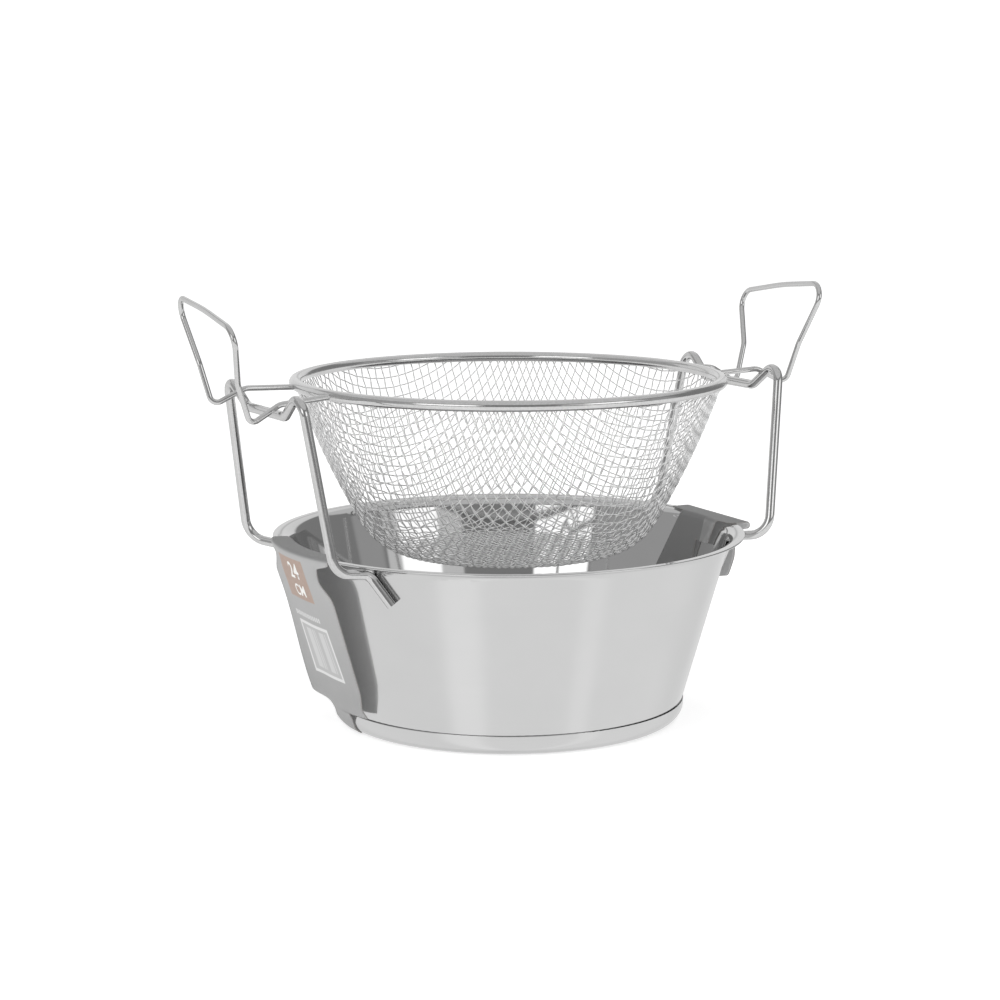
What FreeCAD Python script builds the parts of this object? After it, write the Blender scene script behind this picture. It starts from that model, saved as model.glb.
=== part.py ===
import FreeCAD, Part
import math
import os

# Frying pot with a wire-mesh basket that hangs above it to drain.
# Frame: origin at the centre of the base's underside, +Z up, +X towards the right-hand handle.
# Lengths are millimetres, angles are degrees.

Vector = FreeCAD.Vector

# ---------------------------------------------------------------- pot
lip_radius = 127.0          # outermost edge of the pouring lip; the mouth inside it is nominal 240
lip_top = 101.1
sheet = 1.0                 # wall, floor and lip thickness
wall_low = (94.2, 11.2)     # radius and height of the wall just above the base cap
wall_slope = 0.2886         # growth of the radius per unit of height
floor_under = 6.0           # height of the pot floor's underside
corner_radius = 6.0         # outer radius between floor and wall
flare_radius = 6.0          # underside radius between wall and lip

# ---------------------------------------------------------------- base sandwich
cap_sheet = 0.6
cap_round = 8.6             # outer radius of the cap's lower edge
cap_radius = wall_low[0] + cap_sheet
core_top = cap_round

# ---------------------------------------------------------------- basket hangers
hanger_wire = 5.0
hanger_rest = (140.5, 24.0, 174.7)      # where the rest bar turns up into its end humps
hump_peak = 190.9                       # height where flank and leg would meet without their bend
leg_high = (139.3, 49.5, 170.0)         # a point high on the leg
leg_foot = (127.0, 60.4, 98.4)          # where the leg turns in towards the wall
hanger_weld = {-1: (20.5, 95.8), 1: (28.2, 95.8)}   # angle and height where each foot meets the wall
hanger_tail = {-1: (16.0, 73.5), 1: (33.3, 80.5)}   # the same for the ends of the welded tails
hanger_twist = 2.3                      # the rest bar is turned this far about the pot's axis
hanger_bends = {"rest": 7.0, "hump": 7.6, "foot": 11.0, "weld": 5.5}

# ---------------------------------------------------------------- basket
rim_radius = 117.05         # outside of the rim band
rim_middle = 183.2          # height of the rim band's middle
rim_width, rim_height = 6.5, 5.6
rim_sheet = 0.6
rim_slot = (112.2, 114.6)   # radii of the gap under the band where the mesh goes in
core_wire = 3.0
core_wire_rise = 0.6        # the core wire sits this far above the band's middle
mesh_top = (113.3, 181.9)
mesh_bottom = 91.0
mesh_flat = 51.0            # radius of the flat bottom
mesh_round = 32.5           # outer radius between bottom and side
mesh_belly = 410.0          # outer radius of the side's slight belly
mesh_sheet = 0.3

# ---------------------------------------------------------------- basket handles
# The two ends of a handle differ a little: the "far" leg rides up on a hump and stands higher.
handle_wire = 3.0
handle_root = (113.9, 24.0, 182.9)
handle_rest = {"far": (141.6, 22.5, 183.9), "near": (139.9, 22.5, 180.3)}
handle_dip = {"far": (158.6, 25.0, 175.4), "near": (156.2, 23.0, 170.8)}
handle_neck = {"far": (163.4, 30.5, 197.6), "near": (164.4, 28.2, 192.2)}
handle_top = {"far": (169.4, 48.8, 231.8), "near": (172.0, 45.0, 220.4)}
grip_rise = 1.6             # crown of the grip's top bar
handle_bends = {"rest": 8.0, "dip": 4.0, "neck": 12.0, "top": 8.0}

# ---------------------------------------------------------------- card sleeve
card = 0.6
card_gap = 0.35             # clearance to the pot
card_hem = (98.2, 13.0)     # radius and height of the panel's lower edge
card_shoulder = (127.9, 99.6)
card_angle = 15.0           # half the panel's spread about the pot
ear_angle = 17.5            # half the spread of the fold over the lip
notch_angle, notch_low, notch_high = 12.7, 90.0, 97.5
tab_angle = 7.5
tab_line = [(90.3, 0.65), (94.0, 1.8), (96.0, 4.4)]     # the tab's way round the base edge
fold_inner = 117.0          # how far in the fold over the lip reaches
fold_plane = 129.4          # the right-hand fold is straight and stands in this plane
fold_half_width = 37.0
long_flap = (-7.0, 32.0, 57.0)      # inner flap: near edge, far edge and height of its lower end
short_flap = (-26.0, -6.5, 89.0)
lap = 6.0                   # length over which two parts of the sleeve share their sheet

slope_cos = 1.0 / math.hypot(1.0, wall_slope)
slope_sin = wall_slope * slope_cos


def wall_radius(height):
    """Outer radius of the pot wall at a height."""
    return wall_low[0] + wall_slope * (height - wall_low[1])


def at(radius, height):
    """A point of a profile in the XZ plane."""
    return Vector(radius, 0, height)


def on_circle(centre, radius, degrees):
    """The point of a circle in the XZ plane at an angle from +X towards +Z."""
    turn = math.radians(degrees)
    return centre + Vector(radius * math.cos(turn), 0, radius * math.sin(turn))


def arc(centre, radius, start, end):
    """An arc in the XZ plane between two angles."""
    middle = on_circle(centre, radius, (start + end) / 2)
    return Part.Arc(on_circle(centre, radius, start), middle, on_circle(centre, radius, end)).toShape()


def profile(*items):
    """A face in the XZ plane, from points and arcs in order, closed at the end."""
    edges = []
    first = last = None
    for item in items:
        is_arc = isinstance(item, Part.Edge)
        start = item.firstVertex(True).Point if is_arc else item
        if last is not None and last.distanceToPoint(start) > 1e-6:
            edges.append(Part.makeLine(last, start))
        if is_arc:
            edges.append(item)
        first = first or start
        last = item.lastVertex(True).Point if is_arc else item
    if last.distanceToPoint(first) > 1e-6:
        edges.append(Part.makeLine(last, first))
    return Part.Face(Part.Wire(edges))


def turned(face, start=0.0, sweep=360.0):
    """Revolve a profile about the pot's axis, from an angle, through a sweep."""
    solid = face.revolve(Vector(0, 0, 0), Vector(0, 0, 1), sweep)
    solid.rotate(Vector(0, 0, 0), Vector(0, 0, 1), start)
    return solid


def bent_path(points, radii):
    """Straight runs joined by tangent arcs; one radius for each inner point."""
    edges = []
    start = points[0]
    for before, corner, after, radius in zip(points, points[1:], points[2:], radii):
        back = (before - corner).normalize()
        ahead = (after - corner).normalize()
        half = back.getAngle(ahead) / 2
        reach = radius / math.tan(half)
        bisector = (back + ahead).normalize()
        enter, leave = corner + back * reach, corner + ahead * reach
        middle = corner + bisector * (radius / math.sin(half) - radius)
        edges.append(Part.makeLine(start, enter))
        edges.append(Part.Arc(enter, middle, leave).toShape())
        start = leave
    edges.append(Part.makeLine(start, points[-1]))
    return Part.Wire(edges)


def rod(path, diameter):
    """A round wire along a path."""
    start = path.Edges[0].firstVertex(True).Point
    direction = path.Edges[0].tangentAt(path.Edges[0].FirstParameter)
    section = Part.Wire(Part.makeCircle(diameter / 2, start, direction))
    solid = path.makePipeShell([section], True, False)
    expected = path.Length * math.pi * diameter ** 2 / 4
    print("rod volume over section times length: %.4f" % (solid.Volume / expected))
    return solid


# ---------------------------------------------------------------- pieces of the pot
def pot_body():
    """Drawn bowl: floor, conical wall and flared lip in one sheet."""
    low = at(wall_radius(floor_under + corner_radius) - corner_radius / slope_cos,
             floor_under + corner_radius)
    flange = lip_top - sheet - flare_radius
    high = at(wall_radius(flange) + flare_radius / slope_cos, flange)
    edge = at(lip_radius - sheet / 2, lip_top - sheet / 2)
    lean = -math.degrees(math.atan(wall_slope))
    return turned(profile(
        at(0, floor_under),
        arc(low, corner_radius, -90, lean),
        arc(high, flare_radius, 180 + lean, 90),
        arc(edge, sheet / 2, -90, 90),
        arc(high, flare_radius + sheet, 90, 180 + lean),
        arc(low, corner_radius - sheet, lean, -90),
        at(0, floor_under + sheet)))


def base_core():
    """Heat-spreading disc that fills the space between the bowl and the base cap."""
    middle = at(cap_radius - cap_round, cap_round)
    corner = at(wall_radius(floor_under + corner_radius) - corner_radius / slope_cos,
                floor_under + corner_radius)
    meet = math.degrees(math.asin((core_top - corner.z) / corner_radius))
    return turned(profile(
        at(0, cap_sheet),
        arc(middle, cap_round - cap_sheet, -90, 0),
        arc(corner, corner_radius, meet, -90),
        at(0, floor_under)))


def base_cap():
    """Pressed cup that closes the base and shows as a band below a fine groove."""
    middle = at(cap_radius - cap_round, cap_round)
    rim = at(cap_radius - cap_sheet / 2, wall_low[1] - cap_sheet / 2 - 0.05)
    return turned(profile(
        at(0, 0),
        arc(middle, cap_round, -90, 0),
        arc(rim, cap_sheet / 2, 0, 180),
        arc(middle, cap_round - cap_sheet, 0, -90),
        at(0, cap_sheet)))


def hanger_wall_point(angle, height, end):
    """A point on the axis of the wire where it lies against the wall."""
    chord_sag = 0.17
    radius = wall_radius(height) + hanger_wire / 2 / slope_cos + chord_sag
    turn = math.radians(angle)
    return Vector(radius * math.cos(turn), end * radius * math.sin(turn), height)


def hanger_half(end):
    """Corner points from the middle of the rest bar to one tail; end is +1 or -1 along Y."""
    rest, high, foot = Vector(*hanger_rest), Vector(*leg_high), Vector(*leg_foot)
    leg = (high - foot) / (high.z - foot.z)
    crown = high + leg * (hump_peak - high.z)
    points = [Vector(rest.x, 0, rest.z), rest, crown, foot]
    lowest, highest = foot.z, crown.z
    twisted = []
    for point in points:
        share = (point.z - lowest) / (highest - lowest)
        placed = Vector(point.x, end * point.y, point.z)
        turn = FreeCAD.Rotation(Vector(0, 0, 1), hanger_twist * share)
        twisted.append(turn.multVec(placed))
    twisted.append(hanger_wall_point(*hanger_weld[end], end))
    twisted.append(hanger_wall_point(*hanger_tail[end], end))
    return twisted


def hanger():
    """Right-hand hanger: welded tail, foot, leg, hump, rest bar, and the same back again."""
    front, back = hanger_half(-1), hanger_half(1)
    points = list(reversed(front[1:])) + back[1:]
    radii = [hanger_bends[name] for name in ("weld", "foot", "hump", "rest")]
    return bent_path(points, radii + radii[::-1])


# ---------------------------------------------------------------- pieces of the basket
def stadium(width, height, centre):
    """A flat-sided oval face in the XZ plane."""
    radius = height / 2
    shift = Vector(width / 2 - radius, 0, 0)
    return profile(arc(centre + shift, radius, -90, 90), arc(centre - shift, radius, 90, 270))


def rim_band():
    """Strip rolled into a hollow oval ring with a slot along its underside."""
    centre = at(rim_radius - rim_width / 2, rim_middle)
    outside = stadium(rim_width, rim_height, centre)
    inside = stadium(rim_width - 2 * rim_sheet, rim_height - 2 * rim_sheet, centre)
    inner, outer = rim_slot
    low = rim_middle - rim_height
    slot = profile(at(inner, low), at(outer, low), at(outer, rim_middle), at(inner, rim_middle))
    return turned(outside.cut(inside).cut(slot).Faces[0])


def rim_core():
    """Stiffening wire inside the rim band."""
    return Part.makeTorus(rim_radius - rim_width / 2, core_wire / 2,
                          Vector(0, 0, rim_middle + core_wire_rise))


def mesh_shell():
    """Plain shell in the shape of the woven basket, whose side bellies out a little."""
    corner = at(mesh_flat, mesh_bottom + mesh_round)
    top = at(*mesh_top)
    across = (top - corner).normalize()
    span = (at(*mesh_top) - corner).Length
    far = mesh_belly - mesh_round
    along = (far ** 2 - mesh_belly ** 2 + span ** 2) / (2 * span)
    middle = corner + across * along + Vector(-across.z, 0, across.x) * math.sqrt(far ** 2 - along ** 2)
    low_angle = math.degrees(math.atan2(corner.z - middle.z, corner.x - middle.x))
    top_angle = math.degrees(math.atan2(top.z - middle.z, top.x - middle.x))
    inner = mesh_belly - mesh_sheet
    return turned(profile(
        at(0, mesh_bottom),
        arc(corner, mesh_round, -90, low_angle),
        arc(middle, mesh_belly, low_angle, top_angle),
        on_circle(middle, inner, top_angle),
        arc(middle, inner, top_angle, low_angle),
        arc(corner, mesh_round - mesh_sheet, low_angle, -90),
        at(0, mesh_bottom + mesh_sheet)))


def handle():
    """Right-hand basket handle: out over the hanger, a dip, then up round the grip and back."""
    def end_points(which, end):
        rows = [handle_root, handle_rest[which], handle_dip[which], handle_neck[which], handle_top[which]]
        return [Vector(x, end * y, z) for x, y, z in rows]
    far, near = end_points("far", -1), end_points("near", 1)
    crown = (far[-1] + near[-1]) / 2 + Vector(0, 0, grip_rise)
    points = far + [crown] + list(reversed(near))
    radii = [handle_bends[name] for name in ("rest", "dip", "neck", "top")]
    crown_radius = 300.0
    return bent_path(points, radii + [crown_radius] + radii[::-1])


# ---------------------------------------------------------------- card sleeve
def strip(*points):
    """A profile for a sheet of card along a line of points, its thickness on the outer side."""
    middle = [at(*point) for point in points]
    outer = []
    for index, point in enumerate(middle):
        before = middle[max(index - 1, 0)]
        after = middle[min(index + 1, len(middle) - 1)]
        run = (after - before).normalize()
        outer.append(point + Vector(run.z, 0, -run.x) * card)
    return profile(*middle, *reversed(outer))


def sleeve_strips(shift):
    """The strips of one side with their half spreads, moved out by a shift: hem to fold."""
    over = lip_top + card_gap
    hem = (card_hem[0] + shift, card_hem[1])
    shoulder = (card_shoulder[0] + shift, card_shoulder[1])

    def panel(height):
        share = (height - hem[1]) / (shoulder[1] - hem[1])
        return hem[0] + share * (shoulder[0] - hem[0]), height
    bend = (shoulder[0] - 0.5, over)
    return {
        "tab": strip(*tab_line, hem, panel(hem[1] + lap)),
        "panel": strip(hem, panel(notch_low)),
        "notch": strip(panel(notch_low - lap), panel(notch_high + lap / 4)),
        "fold": strip(panel(notch_high), shoulder, bend, (fold_inner, over)),
    }


def inner_flaps():
    """Flaps that hang from the fold and follow the inside of the wall, around +X."""
    over = lip_top + card_gap
    flaps = []
    for low, high, end in (long_flap, short_flap):
        inside = wall_radius(end) - sheet / slope_cos - card_gap
        start, stop = (math.degrees(math.asin(width / fold_inner)) for width in (low, high))
        flap = strip((fold_inner + lap, over), (fold_inner, over), (inside, end))
        flaps.append(turned(flap, start, stop - start))
    return flaps


def left_card():
    """Side that follows the curve of the lip and the wall."""
    spread = {"tab": tab_angle, "panel": card_angle, "notch": notch_angle, "fold": ear_angle}
    pieces = [turned(face, -spread[name], 2 * spread[name]) for name, face in sleeve_strips(0).items()]
    return half_turn(pieces[0].multiFuse(pieces[1:] + inner_flaps()).removeSplitter())


def right_card():
    """Side with a straight fold that stands clear of the lip."""
    def half_width(degrees, radius):
        return radius * math.sin(math.radians(degrees))
    half = {
        "tab": half_width(tab_angle, card_hem[0]),
        "panel": half_width(card_angle, card_shoulder[0]) - card_gap,
        "notch": half_width(notch_angle, card_shoulder[0]),
        "fold": fold_half_width,
    }
    pieces = []
    for name, face in sleeve_strips(fold_plane - card_shoulder[0]).items():
        plate = face.extrude(Vector(0, 2 * half[name], 0))
        plate.translate(Vector(0, -half[name], 0))
        pieces.append(plate)
    return pieces[0].multiFuse(pieces[1:] + inner_flaps()).removeSplitter()


# ---------------------------------------------------------------- assembly
def half_turn(shape):
    """The same piece on the other side of the pot."""
    copy = shape.copy()
    copy.rotate(Vector(0, 0, 0), Vector(0, 0, 1), 180)
    return copy


def build():
    """Every piece by node name."""
    right_hanger = rod(hanger(), hanger_wire)
    right_handle = rod(handle(), handle_wire)
    return {
        "pot_body": pot_body(),
        "base_core": base_core(),
        "base_cap": base_cap(),
        "right_hanger": right_hanger,
        "left_hanger": half_turn(right_hanger),
        "basket_rim_band": rim_band(),
        "basket_rim_core": rim_core(),
        "basket_mesh": mesh_shell(),
        "right_basket_handle": right_handle,
        "left_basket_handle": half_turn(right_handle),
        "left_card_sleeve": left_card(),
        "right_card_sleeve": right_card(),
    }


os.makedirs("parts", exist_ok=True)
for node, shape in build().items():
    shape.exportStep("parts/%s.step" % node)
    print(node, "solids", len(shape.Solids), "valid", shape.isValid(), "volume %.1f" % shape.Volume)
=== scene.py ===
"""Frying pot with a woven-wire basket hanging above it to drain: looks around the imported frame."""

import math

import bpy
import numpy as np
from mathutils import Matrix, Vector


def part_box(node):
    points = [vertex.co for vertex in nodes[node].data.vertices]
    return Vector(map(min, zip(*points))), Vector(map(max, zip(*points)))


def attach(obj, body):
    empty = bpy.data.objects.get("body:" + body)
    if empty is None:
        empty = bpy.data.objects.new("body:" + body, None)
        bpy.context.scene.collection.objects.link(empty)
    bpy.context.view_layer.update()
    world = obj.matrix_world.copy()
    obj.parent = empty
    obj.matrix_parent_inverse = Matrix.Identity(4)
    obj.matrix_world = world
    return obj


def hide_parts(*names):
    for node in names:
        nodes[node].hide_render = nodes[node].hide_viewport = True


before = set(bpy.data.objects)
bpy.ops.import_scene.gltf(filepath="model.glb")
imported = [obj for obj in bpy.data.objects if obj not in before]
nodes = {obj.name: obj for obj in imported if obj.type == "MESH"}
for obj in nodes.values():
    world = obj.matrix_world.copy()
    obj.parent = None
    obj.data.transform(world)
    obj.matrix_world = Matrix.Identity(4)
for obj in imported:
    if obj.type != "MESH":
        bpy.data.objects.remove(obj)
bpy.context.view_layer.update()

MM = 0.001

# ------------------------------------------------------------------ places read from the frame
LIP_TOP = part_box("pot_body")[1].z
BASKET_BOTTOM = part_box("basket_mesh")[0].z
CARD_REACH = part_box("right_card_sleeve")[1].x

# ------------------------------------------------------------------ dimensions shared with the frame
WALL_SLOPE = 0.2886             # growth of the wall's radius per unit of height
WALL_LOW = (94.2, 11.2)         # outer radius and height of the wall just above the base cap, in mm
WALL_SHEET = 1.0                # mm
MESH_FLAT = 51.0 * MM           # flat part of the basket's bottom
MESH_ROUND = 32.5 * MM          # outer radius between bottom and side
MESH_BELLY = 410.0 * MM         # outer radius of the side's slight belly
MESH_TOP = (113.3 * MM, 181.9 * MM)

# ------------------------------------------------------------------ weave
WIRE = 0.68 * MM
PITCH = 5.05 * MM
STRETCH = 0.15                  # how much the net is drawn out along the wall
WEAVE_TURN = -5.5               # degrees
WAVE_STEPS = 4                  # points on a wire from one crossing to the next
WIRE_SIDES = 5

# ------------------------------------------------------------------ card sleeves, in mm
CARD = 0.6
CARD_GAP = 0.35
CARD_HEM = (98.2, 13.0)         # radius and height of the panel's lower fold
CARD_SHOULDER = (127.9, 99.6)   # and of its upper fold
CARD_TAB = [(90.4, 0.8), (92.4, 1.9), (94.5, 4.4), (95.7, 9.0)]
CARD_BEND = 2.2                 # radius of the folds
CARD_STEP = 1.0
CARD_COLUMNS = 28
FOLD_INNER = 117.0              # radius where the inner flap turns down
FOLD_PLANE = CARD_REACH / MM - CARD
FLAP_END = 57.0                 # height of the inner flap's lower edge
FLAP_NOTCH = 88.6               # height where the inner flap becomes narrower
FLAT_WIDTH = 37.0 / math.radians(17.5)      # width of the right panel's flat part for each radian

# ------------------------------------------------------------------ camera
VIEW_AZIMUTH = math.radians(-26.32)
CAMERA_PLACE = (-624.5 * MM, -1252.0 * MM, 346.7 * MM)
CAMERA_PITCH = 0.1621           # radians
CAMERA_ROLL = -0.0023
CAMERA_LENS = 94.74

# ------------------------------------------------------------------ studio
FLOOR_SIZE = 12.0
ROOM_LIGHT = 0.26
# Panels: azimuths from and to, heights from and to, softness, brightness; azimuth 0 is behind the camera.
PANELS = [(-49.5, -15.5, 3.0, 26.0, 1.2, 1.7), (40.6, 67.0, 3.0, 26.0, 2.0, 1.6),
          (27.0, 76.0, 3.0, 26.0, 1.5, 0.72), (76.0, 98.0, -10.0, 30.0, 4.0, 0.40),
          (-181.0, -50.0, -90.0, 90.0, 2.0, 0.42), (-181.0, 181.0, 34.0, 91.0, 1.0, 0.66),
          (-150.0, -112.0, -10.0, 30.0, 5.0, 0.8),
          (154.0, 181.0, -20.0, 60.0, 5.0, 0.82), (-181.0, -150.0, -20.0, 60.0, 5.0, 0.82)]
PANEL_TOP_EDGE = 4.0            # softness of the panels' upper and lower edges
TABLE_LIGHT = 0.95
TABLE_EDGE = (-9.3, -3.8)       # heights between which the table fades out
TABLE_PATCHES = [(0.10, -43.0, -18.0, 5.0), (0.08, 45.0, 60.0, 4.0)]    # more light, azimuths, softness
TABLE_FADES = [(0.03, -52.0, -40.0), (-0.14, 108.0, 150.0), (-0.14, -108.0, -150.0)]
BACKDROP = 1.1                  # what the camera sees behind the object


def wall_radius(height):
    """Outer radius of the pot wall at a height, in mm."""
    return WALL_LOW[0] + WALL_SLOPE * (height - WALL_LOW[1])


def smooth_step(value, low, high):
    t = min(max((value - low) / (high - low), 0.0), 1.0)
    return t * t * (3 - 2 * t)


def link(obj):
    bpy.context.scene.collection.objects.link(obj)
    return obj


def mesh_object(name, verts, faces, smooth=True):
    data = bpy.data.meshes.new(name)
    data.from_pydata([tuple(v) for v in verts], [], faces)
    data.update()
    if smooth:
        data.polygons.foreach_set("use_smooth", [True] * len(data.polygons))
    return link(bpy.data.objects.new(name, data))


# ------------------------------------------------------------------ materials
class Nodes:
    """Short hand for building one material's node tree."""

    def __init__(self, name):
        self.material = bpy.data.materials.new(name)
        self.material.use_nodes = True
        self.tree = self.material.node_tree
        self.shader = self.tree.nodes["Principled BSDF"]
        self.coords = self.tree.nodes.new("ShaderNodeTexCoord").outputs["Object"]

    def set(self, **values):
        for socket, value in values.items():
            self.shader.inputs[socket.replace("_", " ")].default_value = value
        return self

    def add(self, kind, inputs=(), **settings):
        node = self.tree.nodes.new("ShaderNode" + kind)
        for key, value in settings.items():
            setattr(node, key, value)
        for key, value in dict(inputs).items():
            if isinstance(value, bpy.types.NodeSocket):
                self.tree.links.new(value, node.inputs[key])
            else:
                node.inputs[key].default_value = value
        return node

    def math(self, operation, first, second=0.0, third=0.0):
        node = self.add("Math", {0: first, 1: second, 2: third}, operation=operation)
        return node.outputs[0]

    def stretched(self, scale):
        """Object coordinates, stretched."""
        return self.add("Mapping", {"Vector": self.coords, "Scale": scale}).outputs["Vector"]

    def noise(self, vector, scale, detail=3.0, roughness=0.55):
        return self.add("TexNoise", {"Vector": vector, "Scale": scale, "Detail": detail,
                                     "Roughness": roughness}).outputs["Fac"]

    def ranged(self, value, low, high, new_low, new_high):
        return self.add("MapRange", {"Value": value, "From Min": low, "From Max": high,
                                     "To Min": new_low, "To Max": new_high}).outputs["Result"]

    def mix(self, factor, first, second):
        node = self.add("Mix", data_type="RGBA")
        for socket, value in ((0, factor), (6, first), (7, second)):
            if isinstance(value, bpy.types.NodeSocket):
                self.tree.links.new(value, node.inputs[socket])
            else:
                node.inputs[socket].default_value = value
        return node.outputs[2]

    def outward(self):
        """How far the surface faces away from the pot's axis; the sign is what counts."""
        flat = self.add("VectorMath", {0: self.coords, 1: (1, 1, 0)}, operation="MULTIPLY")
        normal = self.add("NewGeometry").outputs["Normal"]
        facing = self.add("VectorMath", {0: flat.outputs["Vector"], 1: normal}, operation="DOT_PRODUCT")
        return facing.outputs["Value"]

    def to(self, socket, value):
        self.tree.links.new(value, self.shader.inputs[socket])

    def bump(self, height, distance, strength=1.0):
        node = self.add("Bump", {"Height": height, "Distance": distance, "Strength": strength})
        self.to("Normal", node.outputs["Normal"])


def grey(value, tint=0.0):
    """A neutral colour, a little warm (+) or cool (-)."""
    return (value * (1 + tint), value, value * (1 - tint), 1.0)


def pot_steel():
    """Polished sheet steel with a faint turned grain; the inside is shinier than the outside."""
    m = Nodes("pot_steel")
    m.set(Metallic=1.0)
    lines = m.noise(m.stretched((10.0, 10.0, 3600.0)), 1.0, 4.0, 0.62)
    stains = m.noise(m.coords, 22.0, 5.0, 0.6)
    tone = m.ranged(lines, 0.25, 0.75, -0.008, 0.008)
    tone = m.math("ADD", tone, m.ranged(stains, 0.35, 0.7, 0.628, 0.650))
    m.to("Base Color", m.add("CombineColor", {0: tone, 1: tone, 2: tone}).outputs[0])
    outside = m.math("GREATER_THAN", m.outward(), 0.0)
    worn = m.ranged(stains, 0.3, 0.75, 0.045, 0.075)
    m.to("Roughness", m.math("ADD", worn, m.math("MULTIPLY", outside, 0.085)))
    m.bump(lines, 0.0012 * MM, 0.35)
    return m.material


def wire_steel(name="wire_steel", tone=0.66, roughness=0.12):
    """Polished drawn wire with faint die lines and small specks."""
    m = Nodes(name)
    m.set(Metallic=1.0)
    specks = m.noise(m.coords, 900.0, 4.0, 0.6)
    broad = m.noise(m.coords, 60.0, 3.0)
    colour = m.mix(m.ranged(specks, 0.35, 0.75, 0.0, 1.0), grey(tone * 0.93), grey(tone * 1.05))
    m.to("Base Color", m.mix(m.ranged(broad, 0.4, 0.7, 0.0, 0.35), colour, grey(tone * 0.86, 0.01)))
    m.to("Roughness", m.ranged(broad, 0.3, 0.7, roughness * 0.75, roughness * 1.35))
    m.bump(specks, 0.006 * MM, 0.5)
    return m.material


def mesh_steel():
    """Thin woven wire with a painted highlight on the knuckles where it crosses over, and duller between
    them.
    """
    m = Nodes("mesh_steel")
    m.set(Metallic=0.50)
    # Painted highlight: the wire is coloured brightest on each knuckle and duller between them.
    painted_knuckle_highlight = m.add("Attribute", attribute_name="painted_knuckle_highlight").outputs["Fac"]
    specks = m.noise(m.coords, 900.0, 4.0, 0.6)
    colour = m.mix(m.math("POWER", painted_knuckle_highlight, 1.6), grey(0.66), grey(1.0))
    m.to("Base Color", m.mix(m.ranged(specks, 0.4, 0.75, 0.0, 0.3), colour, grey(0.70)))
    m.to("Roughness", m.ranged(specks, 0.3, 0.7, 0.16, 0.26))
    m.bump(specks, 0.006 * MM, 0.5)
    return m.material


def card_material(name, tone, tint=0.0, print_and_shading=False, glow=0.0):
    """Uncoated card: fibres, faint mottling and, on the front, generic printed patches with painted light and
    shade.

    The glow stands for the light that the steel throws back onto the sleeve's hidden side.
    """
    m = Nodes(name)
    m.set(Metallic=0.0, Emission_Color=(1.0, 1.0, 1.0, 1.0), Emission_Strength=glow)
    fibre = m.noise(m.stretched((900.0, 900.0, 500.0)), 1.0, 5.0, 0.7)
    mottle = m.noise(m.coords, 70.0, 4.0, 0.6)
    dark, light = grey(tone * 0.93, tint), grey(tone * 1.06, tint)
    colour = m.mix(m.ranged(fibre, 0.3, 0.7, 0.0, 1.0), dark, light)
    colour = m.mix(m.ranged(mottle, 0.35, 0.7, 0.0, 0.30), colour, grey(tone * 0.84, tint))
    if print_and_shading:
        colour = print_and_painted_shading(m, colour)
    m.to("Base Color", colour)
    m.to("Roughness", m.ranged(fibre, 0.3, 0.7, 0.52, 0.66))
    m.bump(fibre, 0.02 * MM, 0.6)
    return m.material


def print_and_painted_shading(m, colour):
    """Lays a brown square, a row of short dashes and a striped pale panel on the card's front, and paints
    light and shade: lighter towards the top, painted shade on the inner flaps and along the fold over the
    lip.
    """
    axes = m.add("SeparateXYZ", {"Vector": m.coords})
    across, height = axes.outputs["Y"], axes.outputs["Z"]
    left_only = m.math("LESS_THAN", axes.outputs["X"], 0.0)
    pale = grey(0.70)

    def inside(value, low, high):
        edge = 0.12 * MM
        rise = m.ranged(value, low - edge, low + edge, 0.0, 1.0)
        fall = m.ranged(value, high - edge, high + edge, 1.0, 0.0)
        return m.math("MULTIPLY", rise, fall)

    def patch(y0, y1, z0, z1):
        """A rectangle on the left panel, in mm."""
        area = m.math("MULTIPLY", inside(across, y0 * MM, y1 * MM), inside(height, z0 * MM, z1 * MM))
        return m.math("MULTIPLY", area, left_only)

    # Painted light: the card is coloured lighter towards its top.
    colour = m.mix(m.ranged(height, 20 * MM, 98 * MM, 0.0, 0.55), colour, grey(0.50))
    wear = m.noise(m.coords, 420.0, 4.0, 0.7)
    brown = m.mix(m.ranged(wear, 0.35, 0.7, 0.0, 0.4), (0.40, 0.295, 0.245, 1), (0.48, 0.385, 0.33, 1))
    colour = m.mix(patch(-13.5, 18.5, 74.0, 97.0), colour, brown)
    colour = m.mix(patch(-17.0, 19.0, 31.0, 60.5), colour, pale)
    colour = m.mix(patch(-15.3, 17.3, 32.8, 58.7), colour, grey(0.47))

    bar = m.math("FLOOR", m.math("MULTIPLY", across, 900.0))
    bars = m.add("TexWhiteNoise", {"W": bar}, noise_dimensions="1D").outputs["Value"]
    bars = m.math("MULTIPLY", m.math("GREATER_THAN", bars, 0.45), 0.5)
    colour = m.mix(m.math("MULTIPLY", bars, patch(-12.5, 14.5, 35.0, 57.0)), colour, pale)
    dashes = m.math("LESS_THAN", m.math("FRACT", m.math("MULTIPLY", across, 420.0)), 0.68)
    line = m.math("MULTIPLY", dashes, patch(-12.0, 21.0, 63.0, 65.6))
    colour = m.mix(m.math("MULTIPLY", line, 0.8), colour, pale)

    # Painted shade on the inner flaps inside the pot: dark grey over most of the flap, and patchy painted
    # shade where it is creased.
    inward = m.math("LESS_THAN", m.outward(), -0.04)
    crease_shade_noise = m.noise(m.coords, 90.0, 2.0)
    corner = m.mix(m.ranged(crease_shade_noise, 0.4, 0.6, 0.0, 1.0), grey(0.34), grey(0.50))
    painted_flap_shade = m.mix(m.math("LESS_THAN", across, -11 * MM), grey(0.20), corner)
    colour = m.mix(m.math("MULTIPLY", inward, 0.8), colour, painted_flap_shade)
    # Painted shade: a dark band along the fold over the lip.
    painted_fold_shade = m.ranged(height, LIP_TOP - 1.5 * MM, LIP_TOP - 0.3 * MM, 0.0, 0.75)
    return m.mix(painted_fold_shade, colour, grey(0.19))


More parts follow.
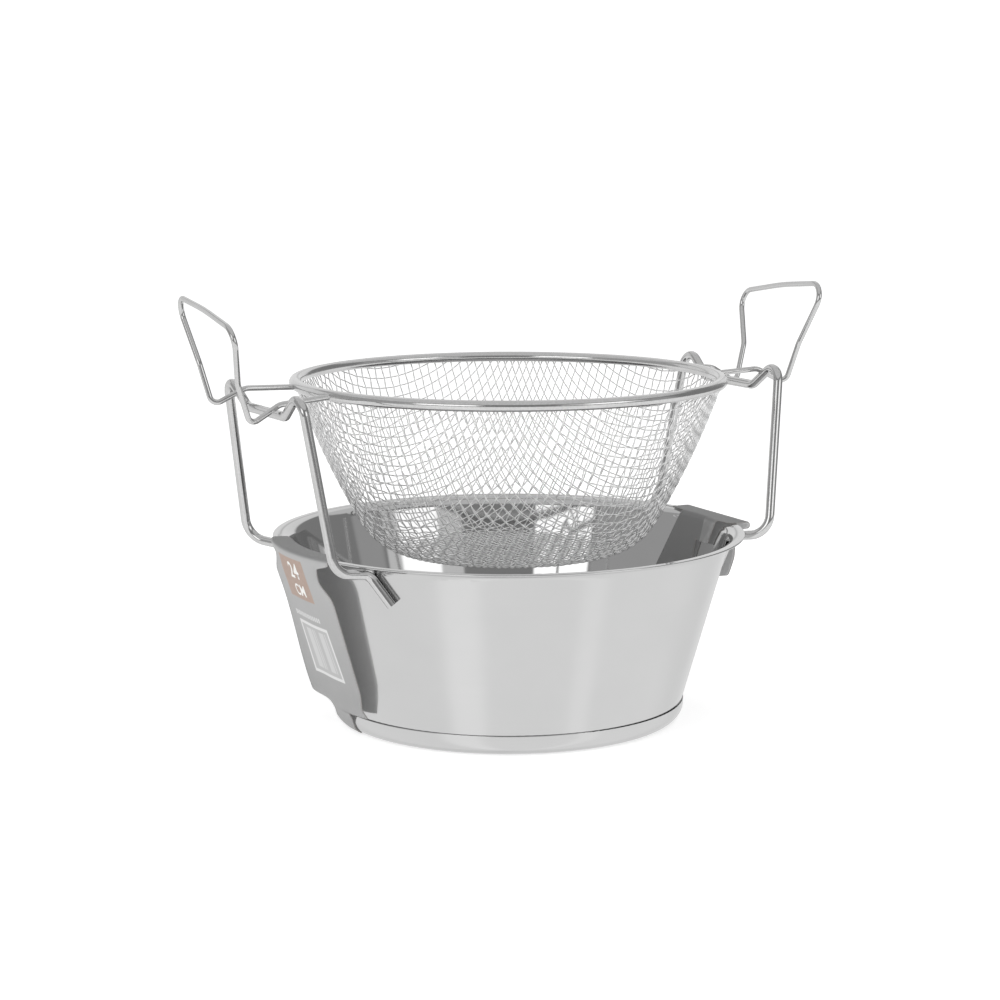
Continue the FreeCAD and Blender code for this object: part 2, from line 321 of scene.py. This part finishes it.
def plain(name, colour, roughness, emission=0.0):
    """Matte material with a faint grain."""
    m = Nodes(name)
    m.set(Emission_Strength=emission, Emission_Color=(1.0, 1.0, 1.0, 1.0))
    grain = m.noise(m.coords, 300.0)
    darker = tuple(0.97 * c for c in colour[:3]) + (1.0,)
    m.to("Base Color", m.mix(m.ranged(grain, 0.4, 0.6, 0.0, 1.0), darker, colour))
    m.set(Roughness=roughness)
    return m.material


POT_STEEL = pot_steel()
WIRE_STEEL = wire_steel()
RIM_STEEL = wire_steel("rim_steel", 0.68, 0.14)
MESH_STEEL = mesh_steel()
CARD_FRONT = card_material("grey_card", 0.36, print_and_shading=True)
CARD_BACK = card_material("grey_card_back", 0.70, glow=0.10)
CARD_EDGE = card_material("grey_card_edge", 0.34, 0.03)
PRINT_WHITE = plain("print_white", (0.86, 0.85, 0.83, 1), 0.5)


def dress(obj, *materials):
    obj.data.materials.clear()
    for material in materials:
        obj.data.materials.append(material)


for node, material in {
    "pot_body": POT_STEEL, "base_cap": POT_STEEL, "base_core": POT_STEEL,
    "left_hanger": WIRE_STEEL, "right_hanger": WIRE_STEEL,
    "left_basket_handle": WIRE_STEEL, "right_basket_handle": WIRE_STEEL,
    "basket_rim_band": RIM_STEEL, "basket_rim_core": WIRE_STEEL,
}.items():
    dress(nodes[node], material)


# ------------------------------------------------------------------ woven basket
class BasketSurface:
    """The surface the wires lie on, by its arc length from the bottom's centre."""

    def __init__(self):
        inset = WIRE * 0.3
        self.bottom = BASKET_BOTTOM + inset
        self.round = MESH_ROUND - inset
        self.belly = MESH_BELLY - inset
        self.corner = np.array([MESH_FLAT, BASKET_BOTTOM + MESH_ROUND])
        top = np.array(MESH_TOP)
        span = math.hypot(*(top - self.corner))
        across = (top - self.corner) / span
        far = self.belly - self.round
        along = (far ** 2 - self.belly ** 2 + span ** 2) / (2 * span)
        self.middle = (self.corner + across * along
                       + np.array([-across[1], across[0]]) * math.sqrt(far ** 2 - along ** 2))
        self.low_angle = math.atan2(*(self.corner - self.middle)[::-1])
        self.turn = self.round * (self.low_angle + math.pi / 2)
        self.side = self.belly * (math.atan2(*(top - self.middle)[::-1]) - self.low_angle)
        self.length = MESH_FLAT + self.turn + self.side

    def section(self, s):
        """Radius, height, and the outward normal's two parts at an arc length."""
        if s < MESH_FLAT:
            return s, self.bottom, 0.0, -1.0
        if s < MESH_FLAT + self.turn:
            angle = -math.pi / 2 + (s - MESH_FLAT) / self.round
            centre, radius = self.corner, self.round
        else:
            angle = self.low_angle + (s - MESH_FLAT - self.turn) / self.belly
            centre, radius = self.middle, self.belly
        out = (math.cos(angle), math.sin(angle))
        return centre[0] + radius * out[0], centre[1] + radius * out[1], *out

    def point(self, u, v):
        """Place and outward normal at polar arc-length coordinates."""
        s = math.hypot(u, v)
        radius, height, out_r, out_z = self.section(s)
        c, d = (u / s, v / s) if s > 1e-9 else (1.0, 0.0)
        return (np.array([radius * c, radius * d, height]),
                np.array([out_r * c, out_r * d, out_z]), s)


def cell_side(start, end):
    """Side of a cell: the net is drawn out along the wall, and not across it."""
    low, high = math.hypot(*start), math.hypot(*end)
    drawn = smooth_step((low + high) / 2, 40 * MM, 90 * MM)
    return PITCH * (1 + STRETCH * drawn * min(1.0, ((high - low) / PITCH) ** 2))


def weave_quadrant(surface, count):
    """Crossings of a net of equal cells between two meridians a quarter turn apart."""
    uv = {(0, 0): np.zeros(2)}
    run = 0.0
    for i in range(1, count + 1):
        run += cell_side((run, 0), (run + PITCH, 0))
        uv[i, 0] = np.array([run, 0.0])
        uv[0, i] = np.array([0.0, run])
    limit = surface.length + 2.5 * PITCH

    def place(p):
        return surface.point(p[0], p[1])[0]

    step = 0.01 * MM
    for i in range(1, count + 1):
        for j in range(1, count + 1):
            if (i - 1, j) not in uv or (i, j - 1) not in uv:
                continue
            a, b = place(uv[i - 1, j]), place(uv[i, j - 1])
            guess = uv[i - 1, j] + uv[i, j - 1] - uv[i - 1, j - 1]
            for _ in range(8):
                p = place(guess)
                sides = np.array([cell_side(uv[i - 1, j], guess), cell_side(uv[i, j - 1], guess)])
                miss = np.array([np.dot(p - a, p - a), np.dot(p - b, p - b)]) - sides ** 2
                across = (place(guess + (step, 0)) - p) / step
                along = (place(guess + (0, step)) - p) / step
                slopes = 2 * np.array([[np.dot(p - a, across), np.dot(p - a, along)],
                                       [np.dot(p - b, across), np.dot(p - b, along)]])
                guess = guess - np.linalg.solve(slopes + 1e-12 * np.eye(2), miss)
            if math.hypot(*guess) < limit:
                uv[i, j] = guess
    return uv


def woven_wires(surface):
    """Centre lines of both families of wires, as (points, normals) lists."""
    count = int(surface.length / PITCH) + 2
    quadrant = weave_quadrant(surface, count)
    start = VIEW_AZIMUTH - math.pi / 2 + math.radians(-45 + WEAVE_TURN)

    def crossing(a, b):
        i, j, quarter = ((a, b, 0) if a >= 0 and b >= 0 else (b, -a, 1) if b >= 0
                         else (-a, -b, 2) if a <= 0 else (-b, a, 3))
        if (i, j) not in quadrant:
            return None
        u, v = quadrant[i, j]
        turn = start + quarter * math.pi / 2
        c, s = math.cos(turn), math.sin(turn)
        return surface.point(u * c - v * s, u * s + v * c)

    families = []
    for family in (0, 1):
        wires = []
        for line in range(-count, count + 1):
            row = [(k, crossing(k, line) if family == 0 else crossing(line, k))
                   for k in range(-count, count + 1)]
            row = [(k, c) for k, c in row if c is not None and c[2] < surface.length + PITCH]
            if len(row) > 3:
                wires.append(wave(row, line, family, surface))
        families.append([w for w in wires if len(w[0]) > 6])
    return families


def wave(row, line, family, surface):
    """One wire that goes over and under the wires it crosses."""
    lift = WIRE * 0.5
    points, normals, painted_knuckle_highlights = [], [], []
    for (k, (place, normal, s)), (_, (after, normal_after, s_after)) in zip(row, row[1:]):
        side = lift if (k + line + family) % 2 else -lift
        for part in range(WAVE_STEPS):
            share = part / WAVE_STEPS
            if s + (s_after - s) * share > surface.length:
                continue
            out = normal * (1 - share) + normal_after * share
            out = out / np.linalg.norm(out)
            offset = side * math.cos(math.pi * share)
            points.append(place * (1 - share) + after * share + out * offset)
            normals.append(out)
            # Painted highlight strength: full at each knuckle, none halfway between.
            painted_knuckle_highlights.append(abs(math.cos(math.pi * share)))
    return points, normals, painted_knuckle_highlights


def tubes(name, wires, radius, sides):
    """All the wires of one family as one mesh of thin closed tubes."""
    ring = [(math.cos(2 * math.pi * k / sides), math.sin(2 * math.pi * k / sides)) for k in range(sides)]
    verts, faces, painted_knuckle_highlight = [], [], []
    for points, normals, painted_knuckle_highlights in wires:
        base = len(verts)
        places, outs = np.array(points), np.array(normals)
        runs = np.gradient(places, axis=0)
        runs /= np.linalg.norm(runs, axis=1)[:, None]
        outs = outs - (outs * runs).sum(1)[:, None] * runs
        outs /= np.linalg.norm(outs, axis=1)[:, None]
        sideways = np.cross(runs, outs)
        painted_knuckle_highlight.extend(np.repeat(painted_knuckle_highlights, sides))
        for place, out, sway in zip(places, outs, sideways):
            verts.extend(place + radius * (c * out + s * sway) for c, s in ring)
        for k in range(len(places) - 1):
            for m in range(sides):
                n = (m + 1) % sides
                low, high = base + k * sides, base + (k + 1) * sides
                faces.append((low + m, low + n, high + n, high + m))
        faces.append(tuple(base + m for m in reversed(range(sides))))
        faces.append(tuple(base + (len(places) - 1) * sides + m for m in range(sides)))
    piece = mesh_object(name, verts, faces)
    # Stores the painted knuckle highlight that the wire material reads.
    piece.data.attributes.new("painted_knuckle_highlight", "FLOAT", "POINT").data.foreach_set("value", painted_knuckle_highlight)
    return piece


for name, wires in zip(("basket_mesh_warp", "basket_mesh_weft"), woven_wires(BasketSurface())):
    family = tubes(name, wires, WIRE / 2, WIRE_SIDES)
    dress(family, MESH_STEEL)
    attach(family, "basket")
    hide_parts("basket_mesh")
    family.visible_glossy = False


# ------------------------------------------------------------------ card sleeves
def rounded_line(points, radius, step):
    """A polyline with rounded corners, sampled at even steps."""
    points = [Vector(p) for p in points]
    path = [points[0]]
    for before, corner, after in zip(points, points[1:], points[2:]):
        reach = min(radius, (before - corner).length * 0.45, (after - corner).length * 0.45)
        enter = corner + (before - corner).normalized() * reach
        leave = corner + (after - corner).normalized() * reach
        for k in range(7):
            t = k / 6
            path.append(enter * (1 - t) ** 2 + corner * 2 * t * (1 - t) + leave * t ** 2)
    path.append(points[-1])
    samples = [path[0]]
    carried = 0.0
    for a, b in zip(path, path[1:]):
        length = (b - a).length
        while carried + length >= step:
            a = a + (b - a).normalized() * (step - carried)
            length = (b - a).length
            samples.append(a)
            carried = 0.0
        carried += length
    samples.append(path[-1])
    return samples


def card_spread(height, inner, right):
    """How far the sleeve spreads about the pot, in degrees, towards -Y and towards +Y."""
    if inner:
        low = 12.9 - 1.2 * smooth_step(height, 98.0, 90.0) if height > FLAP_NOTCH else 3.4
        high = 7.3 + 0.2 * (99.5 - height) if right else 15.8
        return low, high
    if height < CARD_HEM[1]:
        return 4.0, 14.0
    half = 15.0 - 2.3 * smooth_step(height, 80.0, 93.0) + 4.8 * smooth_step(height, 95.0, 98.5)
    if right:
        return half - 5.0 * smooth_step(height, 72.0, 69.0), min(half, 13.0)
    return half + 2.0 * smooth_step(height, 13.0, 30.0) * smooth_step(height, 90.0, 76.0), half


def edge_lift(height, share):
    """How far the left panel's edges stand off; share runs from -1 to 1 across the panel."""
    reach = 2.6 + 4.4 * (share > 0) * smooth_step(height, 80.0, 20.0)
    return abs(share) ** 3 * reach * smooth_step(height, 97.0, 85.0) * smooth_step(height, 12.0, 20.0)


def card_point(radius, height, angle, right, turned):
    """A point of the right-hand sleeve or, mirrored, of the left-hand one, in mm."""
    x, y = radius * math.cos(angle), radius * math.sin(angle)
    if right and not turned:
        straight = smooth_step(height, 40.0, 78.0)
        if height > 99:
            straight = smooth_step(radius, FOLD_INNER, FOLD_INNER + 5.0)
        x = x * (1 - straight) + radius * straight
        y = y * (1 - straight) + angle * FLAT_WIDTH * straight
    return Vector((x, y, height))


def card_side(name, side):
    """One side of the sleeve: tab, panel, notched shoulder, fold and inner flap."""
    right = side > 0
    over = LIP_TOP / MM + CARD_GAP
    shoulder = (FOLD_PLANE if right else CARD_SHOULDER[0], CARD_SHOULDER[1])
    flap_foot = wall_radius(FLAP_END) - WALL_SHEET - CARD_GAP - 0.04
    outline = rounded_line(CARD_TAB + [CARD_HEM, shoulder, (shoulder[0] - 0.6, over), (FOLD_INNER, over),
                                       (flap_foot, FLAP_END)], CARD_BEND, CARD_STEP)
    verts, faces = [], []
    turned = False
    for row, (radius, height) in enumerate(outline):
        turned = turned or radius < FOLD_INNER + 1.5 and height > over - 1.5
        low, high = card_spread(height, turned, right)
        for k in range(CARD_COLUMNS + 1):
            share = k / CARD_COLUMNS
            angle = math.radians(-low + (low + high) * share)
            lift = 0.0 if right or turned or not 12.0 < height < 97.0 else edge_lift(height, 2 * share - 1)
            verts.append(card_point(radius + lift, height, angle, right, turned) * MM)
        if row:
            for k in range(CARD_COLUMNS):
                a = (row - 1) * (CARD_COLUMNS + 1) + k
                b = row * (CARD_COLUMNS + 1) + k
                faces.append((a, a + 1, b + 1, b))
    if side < 0:
        verts = [Vector((-v.x, v.y, v.z)) for v in verts]
        faces = [tuple(reversed(f)) for f in faces]
    piece = mesh_object(name, verts, faces)
    dress(piece, CARD_FRONT, CARD_BACK, CARD_EDGE)
    thick = piece.modifiers.new("thickness", "SOLIDIFY")
    thick.thickness = CARD * MM
    thick.offset = 0.0
    thick.material_offset = 1
    thick.material_offset_rim = 2
    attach(piece, "pot")
    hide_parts(("left" if side < 0 else "right") + "_card_sleeve")


for side in (-1, 1):
    card_side(("left" if side < 0 else "right") + "_card", side)


def size_mark(text, height, middle, letter):
    """Generic size lettering that follows the left panel."""
    curve = bpy.data.curves.new("size_mark", "FONT")
    curve.body = text
    curve.size = letter
    curve.align_x = "CENTER"
    curve.offset = 0.02 * letter
    source = link(bpy.data.objects.new("size_source", curve))
    bpy.context.view_layer.update()
    evaluated = source.evaluated_get(bpy.context.evaluated_depsgraph_get())
    data = bpy.data.meshes.new_from_object(evaluated)
    bpy.data.objects.remove(source)
    slope = (CARD_SHOULDER[0] - CARD_HEM[0]) / (CARD_SHOULDER[1] - CARD_HEM[1])
    for vertex in data.vertices:
        z = height + vertex.co.y / math.hypot(1, slope)
        radius = CARD_HEM[0] + slope * (z - CARD_HEM[1]) + 0.36
        angle = (middle - vertex.co.x) / radius
        vertex.co = Vector((-radius * math.cos(angle), radius * math.sin(angle), z)) * MM
    piece = link(bpy.data.objects.new("size_mark_" + text.lower(), data))
    dress(piece, PRINT_WHITE)
    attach(piece, "pot")


size_mark("24", 86.0, 0.5, 12.5)
size_mark("CM", 76.5, 0.0, 9.0)

# ------------------------------------------------------------------ floor, light, camera
corners = [(x * FLOOR_SIZE, y * FLOOR_SIZE, 0) for x, y in ((-1, -1), (1, -1), (1, 1), (-1, 1))]
floor = mesh_object("floor", corners, [(0, 1, 2, 3)], False)
dress(floor, plain("floor_white", (0.93, 0.93, 0.93, 1), 0.85, 0.50))
floor.visible_glossy = False


def softbox(name, azimuth, elevation, distance, size, power):
    """A rectangular area light that faces the pot; azimuth 0 is behind the camera, in degrees."""
    light = bpy.data.lights.new(name, "AREA")
    light.shape = "RECTANGLE"
    light.size, light.size_y = size
    light.energy = power
    lamp = link(bpy.data.objects.new(name, light))
    a = VIEW_AZIMUTH + math.radians(azimuth)
    e = math.radians(elevation)
    aim = Vector((0, 0, 0.11))
    towards = Vector((math.sin(a) * math.cos(e), -math.cos(a) * math.cos(e), math.sin(e)))
    lamp.location = aim + distance * towards
    lamp.rotation_euler = (aim - lamp.location).to_track_quat("-Z", "Y").to_euler()
    lamp.visible_glossy = False


softbox("left_box", -40, 38, 2.4, (1.2, 1.6), 9)
softbox("right_box", 30, 42, 2.4, (1.2, 1.6), 9)


def studio_world():
    """A white table and white panels in a grey room, as the steel sees them; plain white behind."""
    world = bpy.data.worlds.new("studio")
    world.use_nodes = True
    tree = world.node_tree
    background = tree.nodes["Background"]

    def add(kind, inputs, **settings):
        node = tree.nodes.new("ShaderNode" + kind)
        for key, value in settings.items():
            setattr(node, key, value)
        for key, value in inputs.items():
            if isinstance(value, bpy.types.NodeSocket):
                tree.links.new(value, node.inputs[key])
            else:
                node.inputs[key].default_value = value
        return node.outputs

    def math_node(operation, *values):
        return add("Math", dict(enumerate(values)), operation=operation)[0]

    def fade(value, low, high):
        return add("MapRange", {"Value": value, "From Min": low, "From Max": high},
                   interpolation_type="SMOOTHSTEP")[0]

    def window(value, low, high, edge):
        rise = fade(value, low - edge, low + edge)
        fall = math_node("SUBTRACT", 1.0, fade(value, high - edge, high + edge))
        return math_node("MULTIPLY", rise, fall)

    direction = add("TexCoord", {})["Generated"]
    turned = add("Mapping", {"Vector": direction, "Rotation": (0, 0, math.pi / 2 - VIEW_AZIMUTH)})[0]
    split = add("SeparateXYZ", {"Vector": turned})
    turn = math_node("MULTIPLY", math_node("ARCTAN2", split["Y"], split["X"]), 180 / math.pi)
    rise = math_node("MULTIPLY", math_node("ARCSINE", split["Z"]), 180 / math.pi)

    light = ROOM_LIGHT
    for low, high, bottom, top, edge, level in PANELS:
        part = math_node("MULTIPLY", window(turn, low, high, edge), window(rise, bottom, top, PANEL_TOP_EDGE))
        light = math_node("MAXIMUM", light, math_node("MULTIPLY", part, level))
    table = math_node("SUBTRACT", 1.0, fade(rise, *TABLE_EDGE))
    tone = TABLE_LIGHT
    for more, low, high, edge in TABLE_PATCHES:
        tone = math_node("ADD", tone, math_node("MULTIPLY", more, window(turn, low, high, edge)))
    for more, low, high in TABLE_FADES:
        tone = math_node("ADD", tone, math_node("MULTIPLY", more, fade(turn, low, high)))
    light = math_node("MAXIMUM", light, math_node("MULTIPLY", table, tone))
    seen = add("LightPath", {})["Is Camera Ray"]
    light = math_node("MAXIMUM", light, math_node("MULTIPLY", seen, BACKDROP))
    tree.links.new(light, background.inputs["Color"])
    background.inputs["Strength"].default_value = 1.0
    return world


bpy.context.scene.world = studio_world()

camera_data = bpy.data.cameras.new("camera")
camera_data.lens = CAMERA_LENS
camera_data.sensor_width = 36.0
camera_data.clip_end = 100.0
camera = link(bpy.data.objects.new("camera", camera_data))
camera.matrix_world = (Matrix.Translation(CAMERA_PLACE)
                       @ Matrix.Rotation(VIEW_AZIMUTH, 4, "Z")
                       @ Matrix.Rotation(math.pi / 2 - CAMERA_PITCH, 4, "X")
                       @ Matrix.Rotation(CAMERA_ROLL, 4, "Z"))
bpy.context.scene.camera = camera
bpy.context.scene.view_settings.view_transform = "Standard"
